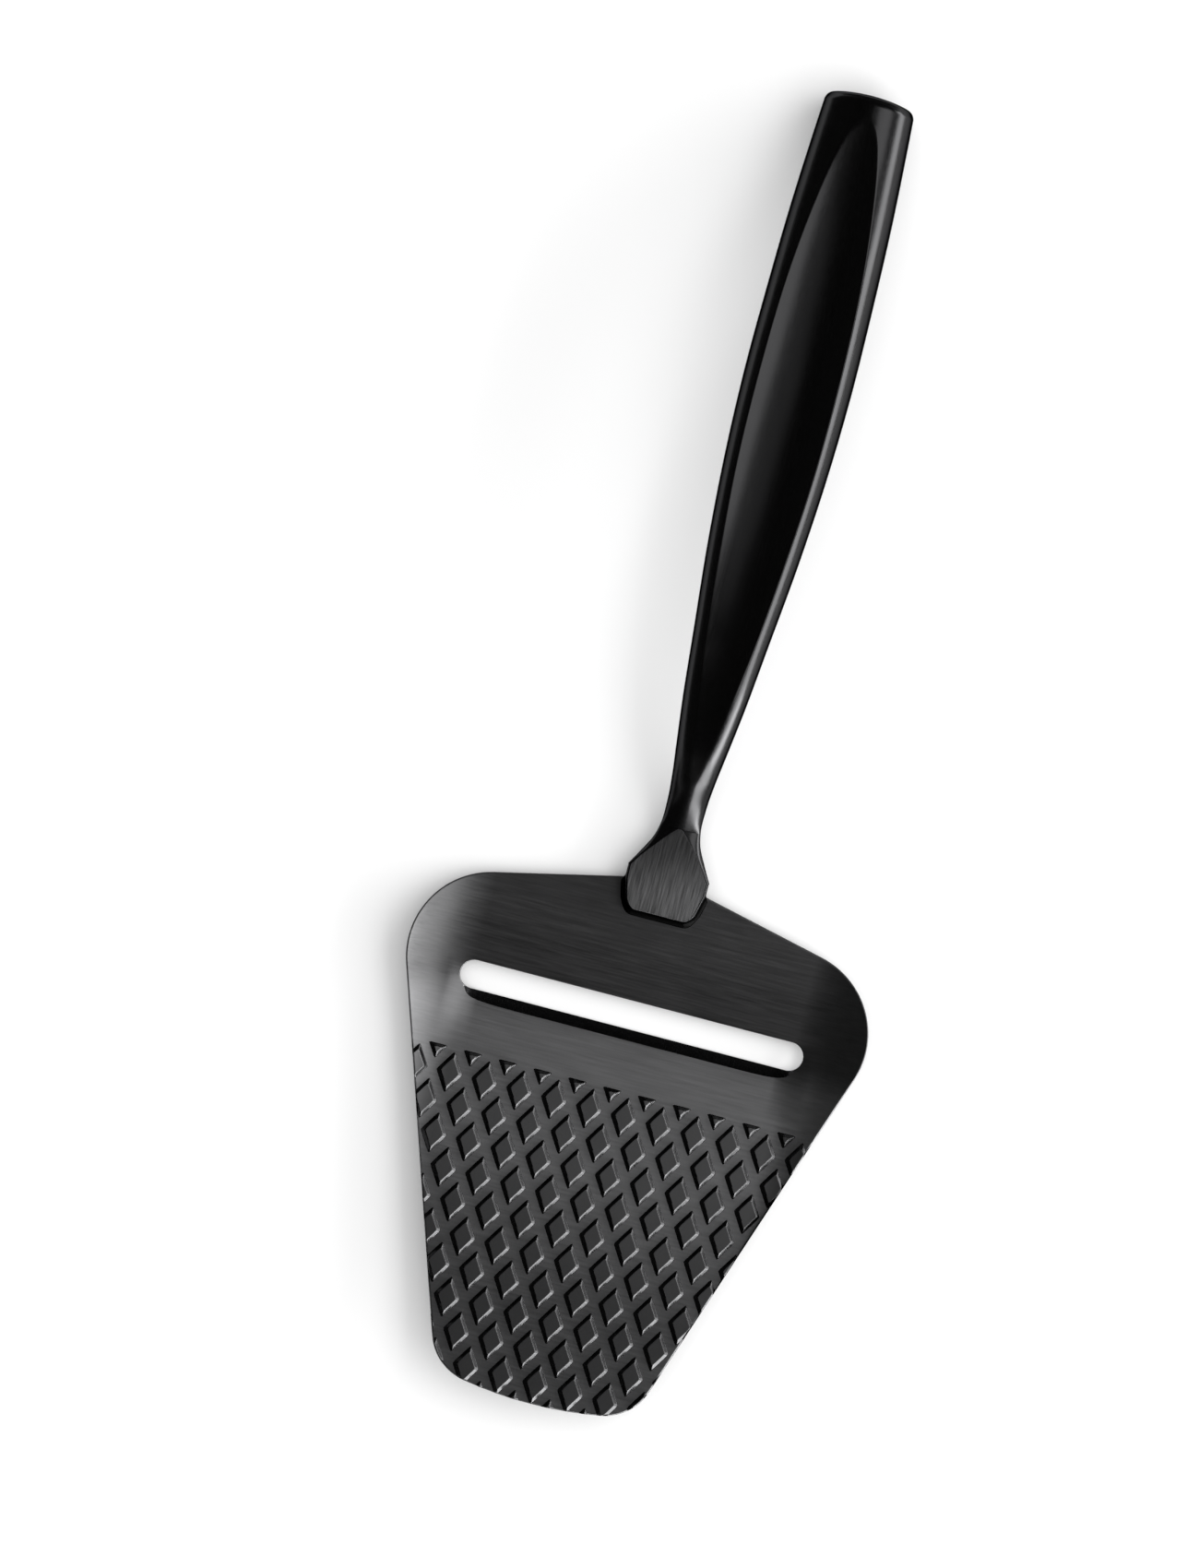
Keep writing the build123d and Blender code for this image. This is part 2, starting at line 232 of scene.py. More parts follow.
def pad_rise(x, y, place):
    # the shoulder is wider toward the left and the tip, where the press left it softer
    soft = ease((place[0] - x) / SOFT_FADE) * ease((place[1] + SOFT_FADE / 2 - y) / SOFT_FADE)
    inner = SHOULDER_IN + SOFT_SIDE * soft
    share = (SHOULDER_OUT - pad_distance(x, y, place)) / (SHOULDER_OUT + inner)
    return PAD_HEIGHT * wall_ramp(share)


print("places for diamonds:", len(pad_places()))

# %% [markdown]
# The outline in plan has straight sides between two large rear corners and a gently
# bowed front. It is a list of points with the way outward at each, so that the same
# list, moved inward a little at a time, also gives the rings of the rounded edge.

# %% The blade's outline
BLADE_HALF_WIDTH, WIDEST_BEHIND, REAR_CORNER, REAR_POINT = 40.0, 3.6, 14.4, 24.2
TIP_BOW, TIP_CORNER, TIP_CORNER_SPACING = 70.0, 9.0, 21.0
OUTLINE_STEP = 0.8


def outer_tangent(a, radius_a, b, radius_b):
    # the angle of the direction in which the common tangent of two circles faces
    run = b - a
    return math.atan2(run[1], run[0]) + math.acos((radius_a - radius_b) / np.hypot(*run))


def outline_walk():
    # the right half from the rear point to the middle of the bow: points and directions
    rear = np.array((BLADE_HALF_WIDTH - REAR_CORNER, WIDEST_BEHIND))
    bow = np.array((0, TIP_BOW - TIP_AHEAD))
    reach = TIP_BOW - TIP_CORNER
    corner_ahead = math.sqrt(reach**2 - TIP_CORNER_SPACING**2 / 4)
    tip = np.array((TIP_CORNER_SPACING / 2, bow[1] - corner_ahead))
    apex = np.array((0.0, REAR_POINT))
    back = outer_tangent(apex, 0, rear, REAR_CORNER)
    side = outer_tangent(rear, REAR_CORNER, tip, TIP_CORNER)
    front = math.atan2(tip[1] - bow[1], tip[0] - bow[0])
    spots = [(apex, (math.cos(back), math.sin(back)))]
    for centre, radius, start, end in (
        (rear, REAR_CORNER, back, side),
        (tip, TIP_CORNER, side, front),
        (bow, TIP_BOW, front, -math.pi / 2),
    ):
        count = max(2, math.ceil(abs(end - start) * radius / OUTLINE_STEP))
        for i in range(count + 1):
            turn = start + (end - start) * i / count
            way_out = (math.cos(turn), math.sin(turn))
            spots.append((centre + radius * np.array(way_out), way_out))
    dense = [spots[0]]
    for spot in spots[1:]:
        start, straight = dense[-1][0], np.allclose(spot[1], dense[-1][1])
        run = spot[0] - start
        pieces = max(1, math.ceil(np.hypot(*run) / OUTLINE_STEP)) if straight else 1
        dense += [(start + run * i / pieces, spot[1]) for i in range(1, pieces + 1)]
    return dense


right_side = outline_walk()
left_side = [(p * (-1, 1), (-d[0], d[1])) for p, d in reversed(right_side[1:-1])]
OUTLINE = right_side + left_side
print("points on the outline:", len(OUTLINE))

# %% [markdown]
# Light catches a sheet's edge because it is never quite sharp. Rings close together along
# the outline and the slot let the height fall off as a quarter circle, and how deep a
# point lies in that rounding also turns its shading.

# %% Distances to the blade's edges
EDGE_ROUND, SLOT_ROUND = 0.32, 0.16
SLOT_STEP, END_TURNS = 0.5, 16
# keeps a division away from zero
TINY = 1e-9
OUTLINE_POINTS = np.array([p for p, d in OUTLINE])
OUTLINE_OUT = np.array([d for p, d in OUTLINE])


def depth_inside(x, y):
    # the distance inward from the convex outline, and the nearest outward direction
    depth = (OUTLINE_POINTS[:, 0] - x[:, None]) * OUTLINE_OUT[:, 0]
    depth = depth + (OUTLINE_POINTS[:, 1] - y[:, None]) * OUTLINE_OUT[:, 1]
    nearest = np.argmin(depth, axis=1)
    return depth[np.arange(len(x)), nearest], OUTLINE_OUT[nearest]


def slot_gap(x, y):
    # the distance from the slot's wall, and the direction toward the slot
    middle = np.clip(x, -SLOT_LENGTH / 2 + SLOT_RADIUS, SLOT_LENGTH / 2 - SLOT_RADIUS)
    run = np.hypot(x - middle, y)
    toward = np.stack((middle - x, -y), axis=1) / np.maximum(run, TINY)[:, None]
    return run - SLOT_RADIUS, toward


def slot_ring(gap):
    radius, half = SLOT_RADIUS + gap, SLOT_LENGTH / 2 - SLOT_RADIUS
    turn = [math.pi * i / END_TURNS - math.pi / 2 for i in range(END_TURNS + 1)]
    right = [(half + radius * math.cos(t), radius * math.sin(t)) for t in turn]
    count = int(2 * half / SLOT_STEP)
    top = [(half - 2 * half * i / count, radius) for i in range(1, count)]
    return right + top + [(-x, -y) for x, y in right + top]


print("points round the slot:", len(slot_ring(0)))

# %% [markdown]
# One triangulation in plan serves both faces of the sheet. Blender's own constrained
# triangulation keeps every ring as an edge and fills the rest from a loose grid of
# points, so the mesh is fine only where the steel turns quickly.

# %% Gather rings in plan
PAD_TURNS, PAD_HALVINGS = 48, 30
# rays start this far inside the line that cuts a diamond off, and lie closer together
# toward its two sharp corners by this much
HEART_INSET, CORNER_CROWDING = 1.2, 0.25
plan_points, plan_edges = [], []


def lay_ring(points, closed=True):
    first = len(plan_points)
    plan_points.extend(Vector((float(x), float(y))) for x, y in points)
    last = len(plan_points)
    plan_edges.extend((i, i + 1) for i in range(first, last - 1))
    if closed:
        plan_edges.append((last - 1, first))


def pad_ring(place, level):
    # one height line of a diamond, found by halving along rays from inside it
    heart_y = min(place[1], -VALLEY_AHEAD - HEART_INSET)
    turn = np.linspace(0, 2 * math.pi, PAD_TURNS, endpoint=False)
    turn = turn + CORNER_CROWDING * np.sin(2 * turn)
    low, high = np.zeros(PAD_TURNS), np.full(PAD_TURNS, PAD_LENGTH)
    for step in range(PAD_HALVINGS):
        middle = (low + high) / 2
        x, y = place[0] + middle * np.cos(turn), heart_y + middle * np.sin(turn)
        inside = pad_distance(x, y, place) < level
        low, high = np.where(inside, middle, low), np.where(inside, high, middle)
    return list(zip(place[0] + low * np.cos(turn), heart_y + low * np.sin(turn)))


print("points on a diamond's outline:", len(pad_ring(pad_places()[0], 0.0)))

# %% [markdown]
# The steel turns at the sheet's edge, the slot, the bevel and the diamonds' walls, so
# these places get rings. A diamond at the sheet's edge keeps the part that lies on it.

# %% Lay the rings
ROUND_SHARES = (0.0, 0.03, 0.12, 0.3, 0.6, 1.0)
PAD_LEVELS = (0.08, 0.03, -0.035, -0.24, -0.445, -0.5, -0.56, -0.7)
BEVEL_INSET, BEVEL_POINTS, BEVEL_SHIFTS = 0.05, 160, (-0.07, 0.0, 0.07)
PAD_MARGIN = 0.005
for share in ROUND_SHARES:
    lay_ring([p - np.array(d) * share * EDGE_ROUND for p, d in OUTLINE])
for share in ROUND_SHARES:
    lay_ring(slot_ring(share * SLOT_ROUND))
bevel_x = np.linspace(-BEVEL_HALF + BEVEL_INSET, BEVEL_HALF - BEVEL_INSET, BEVEL_POINTS)
for shift in BEVEL_SHIFTS:
    lay_ring(zip(bevel_x, bevel_line(bevel_x) + shift), closed=False)

on_sheet = depth_inside(*np.array(pad_places()).T)[0] > -PAD_LENGTH / 2
pads = [place for place, near in zip(pad_places(), on_sheet) if near]
for place in pads:
    for level in PAD_LEVELS:
        ring = np.array(pad_ring(place, level))
        keep = depth_inside(ring[:, 0], ring[:, 1])[0] > PAD_MARGIN
        if keep.all():
            lay_ring(ring)
            continue
        # split the ring at every point that is dropped
        order = np.roll(np.arange(PAD_TURNS), -int(np.argmin(keep)))
        for run in np.split(order, np.flatnonzero(~keep[order])):
            run = run[keep[run]]
            if len(run) > 1:
                lay_ring(ring[run], closed=False)
print("rings laid:", len(plan_points), "points,", len(pads), "diamonds")

# %% [markdown]
# Without points between the rings, long thin triangles would draw the bends. A remesh
# modifier could add them, but it would not keep the rings.

# %% Fill the plan with loose points and triangulate
GRID_STEP, ROW_SHARE = 0.9, 0.87
LIP_STEP, LIP_ENDS, LIP_ROWS = 0.4, (25, 33), (-6.0, 1.0)
# how far loose points keep from the rings
EDGE_GAP, SLOT_GAP, PAD_GAPS, BEVEL_GAP = 0.2, 0.12, (0.18, 0.25), 0.2
MERGE_WITHIN = 1e-5


def nearest_pad(x, y):
    # the least distance to any diamond, and the height that the diamonds add
    least, height = np.full(len(x), FAR), np.zeros(len(x))
    for place in pads:
        near = (np.abs(x - place[0]) < PAD_WIDTH) & (np.abs(y - place[1]) < PAD_LENGTH)
        least[near] = np.minimum(least[near], pad_distance(x[near], y[near], place))
        height[near] = np.maximum(height[near], pad_rise(x[near], y[near], place))
    return least, height


grid = []
for row, y in enumerate(np.arange(-TIP_AHEAD, REAR_POINT, GRID_STEP * ROW_SHARE)):
    shift = GRID_STEP / 2 if row % 2 else 0
    grid += [(x + shift, y) for x in np.arange(-BLADE_HALF_WIDTH, BLADE_HALF_WIDTH, GRID_STEP)]
for x in np.arange(-LIP_ENDS[1], LIP_ENDS[1] + 0.1, LIP_STEP):
    if abs(x) > LIP_ENDS[0]:
        grid += [(x, y) for y in np.arange(*LIP_ROWS, LIP_STEP)]
grid = np.array(grid)
x, y = grid.T
inside = depth_inside(x, y)[0] > EDGE_ROUND + EDGE_GAP
outside_slot = slot_gap(x, y)[0] > SLOT_ROUND + SLOT_GAP
pad_near = nearest_pad(x, y)[0]
off_walls = (pad_near > SHOULDER_OUT + PAD_GAPS[0]) | (pad_near < PAD_LEVELS[-1] - PAD_GAPS[1])
off_bevel = np.abs(y - bevel_line(np.clip(x, -BEVEL_HALF, BEVEL_HALF))) > BEVEL_GAP
loose = grid[inside & outside_slot & off_walls & off_bevel]
plan_points += [Vector((float(x), float(y))) for x, y in loose]
flat = delaunay_2d_cdt(plan_points, plan_edges, [], 0, MERGE_WITHIN, False)
PLAN_XY = np.array([tuple(p) for p in flat[0]])
triangles = np.array(flat[2])
middles = PLAN_XY[triangles].mean(axis=1)
triangles = triangles[slot_gap(middles[:, 0], middles[:, 1])[0] > 0]
print("plan:", len(PLAN_XY), "points,", len(triangles), "triangles")

# %% [markdown]
# Now the plan becomes sheet metal. The upper face takes the bent sheet, the bevel and
# the diamonds, and the lower face follows it one thickness below. The shading normals
# come from the same functions, so large and small triangles shade alike.

# %% Raise the blade
# half the run over which a slope is measured
NUDGE = 0.01


def upper_height(x, y):
    height = np.minimum(bent_sheet(x, y), bevel_slope(x, y))
    return height + nearest_pad(x, y)[1]


def lower_height(x, y):
    return bent_sheet(x, y) - SHEET_THICKNESS * np.hypot(1, curl_slope(x))


def unit(vectors):
    return vectors / np.linalg.norm(vectors, axis=-1, keepdims=True)


def face_normals(height, x, y):
    along_x = (height(x + NUDGE, y) - height(x - NUDGE, y)) / (2 * NUDGE)
    along_y = (height(x, y + NUDGE) - height(x, y - NUDGE)) / (2 * NUDGE)
    return unit(np.stack((-along_x, -along_y, np.ones_like(x)), axis=1))


def rounded_edge(x, y):
    # the share of the way round the edge, how far it has fallen, and the way out
    depth, out = depth_inside(x, y)
    gap, toward = slot_gap(x, y)
    near_slot = gap < depth
    share = np.where(near_slot, gap / SLOT_ROUND, depth / EDGE_ROUND)
    share = 1 - np.clip(share, 0, 1)
    radius = np.where(near_slot, SLOT_ROUND, EDGE_ROUND)
    # the cutting edge stays sharp
    sharp = near_slot & (y < 0) & (np.abs(x) < BEVEL_HALF)
    share = np.where(sharp, 0, share)
    fall = radius * (1 - np.sqrt(1 - share**2))
    return share, fall, np.where(near_slot[:, None], toward, out)


def rounded_normals(normal, share, out):
    rest = np.sqrt(1 - share**2)[:, None]
    sideways = np.concatenate((out, np.zeros((len(out), 1))), axis=1)
    return unit(normal * rest + sideways * share[:, None])


X, Y = PLAN_XY[:, 0], PLAN_XY[:, 1]
share, fall, out = rounded_edge(X, Y)
upper = np.stack((X, Y, upper_height(X, Y) - fall), axis=1)
lower = np.stack((X, Y, lower_height(X, Y) + fall), axis=1)
upper_normals = rounded_normals(face_normals(upper_height, X, Y), share, out)
lower_normals = -rounded_normals(face_normals(lower_height, X, Y), share, -out)
print("blade height:", round(float(upper[:, 2].max() - lower[:, 2].min()), 2), "mm")

# %% [markdown]
# An edge that belongs to one triangle alone is open, and a wall closes the sheet there.
# A solidify modifier could do it, but both faces already have heights of their own.

# %% Walls between the two faces
def open_edges(faces):
    # a dictionary, because it keeps the order
    seen = {}
    for a, b, c in faces:
        for edge in ((a, b), (b, c), (c, a)):
            if not seen.pop(edge[::-1], False):
                seen[edge] = True
    return list(seen)


corner_xy = PLAN_XY[triangles]
area = np.cross(corner_xy[:, 1] - corner_xy[:, 0], corner_xy[:, 2] - corner_xy[:, 0])
triangles[area < 0] = triangles[area < 0][:, ::-1]
count = len(PLAN_XY)
walls = [(b, a, a + count, b + count) for a, b in open_edges(triangles.tolist())]
blade_faces = triangles.tolist() + (triangles[:, ::-1] + count).tolist() + walls
print("walls:", len(walls))

# %% [markdown]
# The press leaves the diamonds smooth, and the bevel is ground bright. The diamonds' walls and
# the bevel are also painted near-black as painted shade. Their faces are picked by place, which
# still works when a size changes.

# %% Which faces lie on a diamond, on its wall or on the bevel
WALL_TOP_SHARE, PAD_REACH = 0.96, 0.01
BEVEL_STARTS, BEVEL_REACH = -1.0, 0.01
corner_x, corner_y = X[triangles], Y[triangles]
pad_gap, pad_lift = nearest_pad(X, Y)
on_pad = (pad_gap < SHOULDER_OUT + PAD_REACH)[triangles].all(axis=1)
# faces on a diamond's wall get a near-black colour as painted shade
on_wall = on_pad & ~(pad_lift > WALL_TOP_SHARE * PAD_HEIGHT)[triangles].all(axis=1)
# the bevel's faces get a near-black colour as painted shade too
on_bevel = (np.abs(corner_x) < BEVEL_HALF) & (corner_y < BEVEL_STARTS)
on_bevel = (on_bevel & (corner_y > bevel_line(corner_x) - BEVEL_REACH)).all(axis=1)
print("faces on diamonds, walls and bevel:", on_pad.sum(), on_wall.sum(), on_bevel.sum())

# %% [markdown]
# A piece is one mesh, laid on the table. The blade replaces the plain steel shape.

# %% The blade as an object
def new_piece(name, points, faces, normals):
    mesh = bpy.data.meshes.new(name)
    mesh.from_pydata([on_table(*p) for p in points], [], faces)
    mesh.polygons.foreach_set("use_smooth", [True] * len(mesh.polygons))
    mesh.normals_split_custom_set_from_vertices([turn_to_table(*n) for n in normals])
    return placed(name, mesh)


blade_points = np.vstack((upper, lower))
blade_shading = np.vstack((upper_normals, lower_normals))
blade = new_piece("pressed_blade", blade_points, blade_faces, blade_shading)
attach(blade, "root")
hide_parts("blade_plate")
print("blade faces:", len(blade_faces))

# %% [markdown]
# The handle is two pressed half shells, welded along both sides and ground flush, on a
# short solid neck that spreads into a flat ground foot. Every slice across it is half an
# ellipse above and half an ellipse below, cut by a round scoop along the top. A
# subdivided box could come close, but the scoop's crisp rim needs its own row of points.

# %% Slices of the neck and the handle
HANDLE_START, HANDLE_RUN, HANDLE_END = 24.9, 135.6, 160.5
HANDLE_HALF_WIDTH, HANDLE_RISE, HANDLE_HALF_DEPTH = 9.3, 18.0, 5.7
SCOOP_DEPTH, SCOOP_RADIUS, NO_SCOOP = 3.0, 20.0, -1.0
FOOT_TOP, FOOT_FRONT, FOOT_SHOULDER, FOOT_DRAFT = 2.6, 17.2, 22.6, 0.45
FOOT_FRONT_HALF, FOOT_HALF, FOOT_CORNER, SADDLE = 5.8, 7.05, 2.2, 32.6
# along the run, width, height of the middle, depth, depth of the scoop, squareness
SLICES = np.array([
    (0.000, 0.764, 0.072, 0.263, -0.400, 5.0),
    (0.021, 0.591, 0.080, 0.275, -0.400, 2.4),
    (0.041, 0.441, 0.082, 0.255, -0.400, 2.0),
    (0.059, 0.376, 0.083, 0.246, -0.350, 2.0),
    (0.086, 0.366, 0.189, 0.491, -0.220, 2.0),
    (0.119, 0.400, 0.400, 0.544, 0.000, 2.0),
    (0.156, 0.467, 0.583, 0.596, 0.090, 2.0),
    (0.215, 0.573, 0.772, 0.667, 0.236, 2.0),
    (0.303, 0.699, 0.905, 0.754, 0.514, 2.0),
    (0.406, 0.844, 0.980, 0.840, 0.744, 2.0),
    (0.517, 0.952, 1.000, 0.930, 0.963, 2.0),
    (0.633, 1.000, 0.975, 0.990, 1.000, 2.0),
    (0.738, 0.984, 0.905, 1.000, 0.909, 2.0),
    (0.849, 0.941, 0.785, 0.965, 0.564, 2.0),
    (0.937, 0.876, 0.650, 0.900, 0.182, 2.0),
    (1.015, 0.806, 0.520, 0.820, -0.300, 2.0),
])
SLICE_Y = HANDLE_START + SLICES[:, 0] * HANDLE_RUN
# half the width of the foot's ground face from the shoulders to its point
FACE_Y = (24.9, 26.6, 27.9, 29.1, 30.4, 31.2, 31.8, 32.3, 32.6)
FACE_HALF = (6.6, 5.5, 4.55, 3.55, 2.5, 1.8, 1.25, 0.75, 0.4)
# the neck's back rises from the face's point in almost a straight line
CROWN_Y = np.array((32.6, 36.56, 41.04, 46.05, 54.05))
CROWN = np.array((2.6, 5.8, 9.95, 13.891, 17.698))
# how round the foot's ground face is across, and how much deeper the neck starts
FACE_CROWN, KEEL, KEEL_RUN = 0.13, 0.092, 3
# the widest share of a half width that a column may have
ALMOST_ALL = 0.999


def smooth_between(y, places, values):
    # a smooth curve through the slices, with slopes taken from their neighbours
    slope = np.gradient(values, places)
    at = np.clip(np.searchsorted(places, y) - 1, 0, len(places) - 2)
    gap = places[at + 1] - places[at]
    t = np.clip((y - places[at]) / gap, 0, 1)
    rise = values[at + 1] - values[at]
    ends = slope[at] * gap * t * (1 - t) ** 2 - slope[at + 1] * gap * t**2 * (1 - t)
    return values[at] + rise * t * t * (3 - 2 * t) + ends


def slice_sizes(y):
    # half width, middle, height above it and below it, squareness, scoop, half the face
    y = np.asarray(y, float)
    half = HANDLE_HALF_WIDTH * smooth_between(y, SLICE_Y, SLICES[:, 1])
    middle = HANDLE_RISE * smooth_between(y, SLICE_Y, SLICES[:, 2])
    depth = HANDLE_HALF_DEPTH * smooth_between(y, SLICE_Y, SLICES[:, 3])
    scoop = SCOOP_DEPTH * smooth_between(y, SLICE_Y, SLICES[:, 4])
    square = smooth_between(y, SLICE_Y, SLICES[:, 5])
    # ahead of the shoulders the foot tapers, with two rounded front corners
    share = (y - FOOT_FRONT) / (FOOT_SHOULDER - FOOT_FRONT)
    taper = FOOT_FRONT_HALF + (FOOT_HALF - FOOT_FRONT_HALF) * share
    into = np.clip(FOOT_CORNER - (y - FOOT_FRONT), 0, FOOT_CORNER)
    taper = np.minimum(taper, FOOT_HALF) - FOOT_CORNER + np.sqrt(FOOT_CORNER**2 - into**2)
    half = np.where(y < HANDLE_START, np.minimum(taper, half), half)
    keel = KEEL * (1 - ease((y - SADDLE) / KEEL_RUN))
    below = np.where(y < SADDLE, middle, np.minimum(depth + keel, middle))
    face = np.where(y < HANDLE_START, half - FOOT_DRAFT, np.interp(y, FACE_Y, FACE_HALF))
    filled = (1 - np.clip(face / half, 0, ALMOST_ALL) ** square) ** (1 / square)
    neck = smooth_between(y, CROWN_Y, CROWN) - middle
    above = np.where(y < CROWN_Y[3], neck, depth)
    above = np.where(y < SADDLE, (FOOT_TOP - middle) / filled, above)
    return half, middle, above, below, square, scoop, np.where(y < SADDLE, face, 0)


sample = slice_sizes(np.array([20.0, 29.0, 40.0, 100.0]))
print("half widths:", sample[0].round(2), "half heights:", sample[2].round(2))

# %% [markdown]
# The eye follows the scoop's rim, where the arch of the back and the scoop's floor are
# equally high. It is found by halving, and the columns of points crowd round it.

# %% The rim of the scoop
RIM_STEPS = (0.36, 0.2, 0.1, 0.03, -0.03, -0.1, -0.2, -0.36)
RIM_MARGIN, RIM_HALVINGS = 0.45, 40
FLANK_STEPS, TOP_STEPS, UNDER_STEPS = 16, 9, 44


def arch(x, half, middle, above, square):
    return middle + above * (1 - np.clip(np.abs(x) / half, 0, 1) ** square) ** (1 / square)


def cap_height(x, y, crown, scoop):
    # the foot's ground face, or the scoop's round floor
    front = (FOOT_TOP - FACE_CROWN * (x / FOOT_HALF) ** 2) * ease((y - FOOT_FRONT) / FOOT_DRAFT)
    floor = crown - scoop + SCOOP_RADIUS - np.sqrt(SCOOP_RADIUS**2 - x**2)
    return np.where(y < SADDLE, front, np.where(scoop > NO_SCOOP, floor, FAR))


def rim_place(y):
    half, middle, above, below, square, scoop, face = slice_sizes(y)
    low, high = np.zeros_like(y), half * ALMOST_ALL
    for step in range(RIM_HALVINGS):
        x = (low + high) / 2
        inside = cap_height(x, y, middle + above, scoop) < arch(x, half, middle, above, square)
        low, high = np.where(inside, x, low), np.where(inside, high, x)
    rim = np.where(y < SADDLE, face, low)
    return np.clip(rim, RIM_MARGIN, half - RIM_MARGIN)


def upper_columns(y):
    # how far out each column of the right upper quarter lies, from the seam inward
    half, middle, above, below, square, scoop, face = slice_sizes(y)
    rim = rim_place(y)
    start = np.arcsin(np.clip(1 - ((rim + RIM_STEPS[0]) / half) ** square, 0, 1) ** 0.5)
    turn = np.outer(np.linspace(0, 1, FLANK_STEPS, endpoint=False), start)
    flank = half * np.cos(turn) ** (2 / square)
    edge = np.array([rim + step for step in RIM_STEPS])
    inner = np.outer(np.linspace(1, 0, TOP_STEPS), rim + RIM_STEPS[-1])[1:]
    return np.vstack((flank, edge, inner))


print("rim at y = 100:", rim_place(np.array([100.0])).round(2), "mm from the middle")

# %% [markdown]
# A near-black band of painted shadow fills the corner round the foot. A strip of its own would
# have to follow the foot, so its lowest points spread outward instead.

# %% The painted shadow round the foot
SHADOW_BAND_RUN, SHADOW_BAND_HEIGHT = 0.75, 1.1
SHADOW_BAND_ENDS, SHADOW_BAND_FADE, SHADOW_BAND_FRONT_FADE = 21.6, 1.4, 1.5


def spread_shadow_band(grid):
    # less and less toward the foot's shoulders
    low = SHADOW_BAND_RUN * np.clip(1 - grid[..., 2] / SHADOW_BAND_HEIGHT, 0, 1) ** 2
    half = np.abs(grid[..., 0]).max(axis=1, keepdims=True)
    grid[..., 0] *= 1 + low * (1 - ease((grid[..., 1] - SHADOW_BAND_ENDS) / SHADOW_BAND_FADE)) / half
    grid[..., 1] -= low * (1 - ease((grid[..., 1] - FOOT_FRONT) / SHADOW_BAND_FRONT_FADE))
    return grid


print("the seam reaches", SHADOW_BAND_RUN, "mm out of the foot")

# %% [markdown]
# One closed ring stands at each slice. The foot's rings have straight walls that turn
# into the neck's round underside, so one skin covers foot, neck and handle.

# %% Rings round each slice
RIM_SOFTNESS, FACE_SOFTNESS = 0.16, 0.08
BOXY_ENDS, BOXY_FADE = 22.5, 4
# where the straight walls meet the flat underside, as shares of the way below
BOX_CORNERS = (0.25, 0.75)


def rings(y):
    # closed rings at each y: over the top from right to left, then back below
    half, middle, above, below, square, scoop, face = slice_sizes(y)
    quarter = upper_columns(y)
    over = np.vstack((quarter, -quarter[-2::-1]))
    crown = middle + above
    top = arch(over, half, middle, above, square)
    softness = np.where(y < SADDLE, FACE_SOFTNESS, RIM_SOFTNESS)
    top = soft_least(top, cap_height(over, y, crown, scoop), softness)
    top = np.maximum(top, 0)
    top[0], top[-1] = np.minimum(middle, top[1]), np.minimum(middle, top[-2])
    turn = np.linspace(math.pi, 2 * math.pi, UNDER_STEPS + 1)[1:-1]
    under = half * np.sign(np.cos(turn))[:, None] * np.abs(np.cos(turn))[:, None] ** (2 / square)
    bottom = middle - below * np.abs(np.sin(turn))[:, None] ** (2 / square)
    share = (turn - math.pi)[:, None] / math.pi
    boxy = 1 - ease((y - BOXY_ENDS) / BOXY_FADE)
    walls_x = np.interp(share, BOX_CORNERS, (-1, 1))
    walls_z = np.interp(share, (0, *BOX_CORNERS, 1), (1, 0, 0, 1))
    under = boxy * half * walls_x + (1 - boxy) * under
    bottom = boxy * middle * walls_z + (1 - boxy) * bottom
    bottom = np.minimum(bottom, top[0])
    x, z = np.vstack((over, under)), np.vstack((top, bottom))
    grid = np.stack((x, np.broadcast_to(y, x.shape), z), axis=2)
    # the lowest points spread out into the band that carries the painted shadow
    return spread_shadow_band(grid.transpose(1, 0, 2))


print("a ring at y = 100 has", rings(np.array([100.0])).shape[1], "points")

# %% [markdown]
# The forging turns quickly at the foot and hardly at all along the handle, so the
# slices stand close together in front and wide apart behind.

# %% Slices close together where the form turns
JOINT = HANDLE_START + 19.5
foot_y = FOOT_FRONT + FOOT_DRAFT * np.array((0, 0.12, 0.3, 0.5, 0.7, 0.88, 1.0))
crease_y = SADDLE + np.array((-0.08, -0.015, 0.015, 0.08, 0.25, 0.5))
front_rows = np.concatenate((
    foot_y,
    np.arange(17.9, 20.0, 0.25),
    np.arange(20.0, 24.8, 0.6),
    np.arange(24.9, 32.5, 0.2),
    crease_y,
    np.arange(33.4, JOINT - 0.2, 0.4),
    [JOINT],
))
rear_rows = np.concatenate((np.arange(JOINT + 0.5, 150.0, 0.9), np.arange(150.0, 158.01, 0.5)))
body = rings(np.concatenate((front_rows, rear_rows)))
over_count = body.shape[1] - (UNDER_STEPS - 1)
print("rings:", body.shape[0], "of", body.shape[1], "points")

# %% [markdown]
# The handle ends in a shallow dome with a softly broken edge. The last rings leave
# their flat slices: first they run up to the dome's edge, then round it in a quarter
# circle, then shrink over the dome to its middle.

# %% The domed end
DOME_RADIUS, END_ROUND = 28.0, 1.0
DOME_MIDDLE = 0.65 * HANDLE_RISE
EDGE_TURNS, DOME_SHARES = (18, 36, 54, 72, 90), (0.7, 0.4, 0.15, 0.0)


def dome(x, z):
    return HANDLE_END - DOME_RADIUS + np.sqrt(DOME_RADIUS**2 - x**2 - (z - DOME_MIDDLE) ** 2)


def ring_at(y_by_column):
    # the side of the handle with a separate y for each column
    whole = rings(y_by_column)
    return whole[np.arange(len(y_by_column)), np.arange(len(y_by_column))]


last = body[-1]
heart = np.array((0.0, float(last[:, 2].max() + last[:, 2].min()) / 2))
edge_y = dome(last[:, 0], last[:, 2])
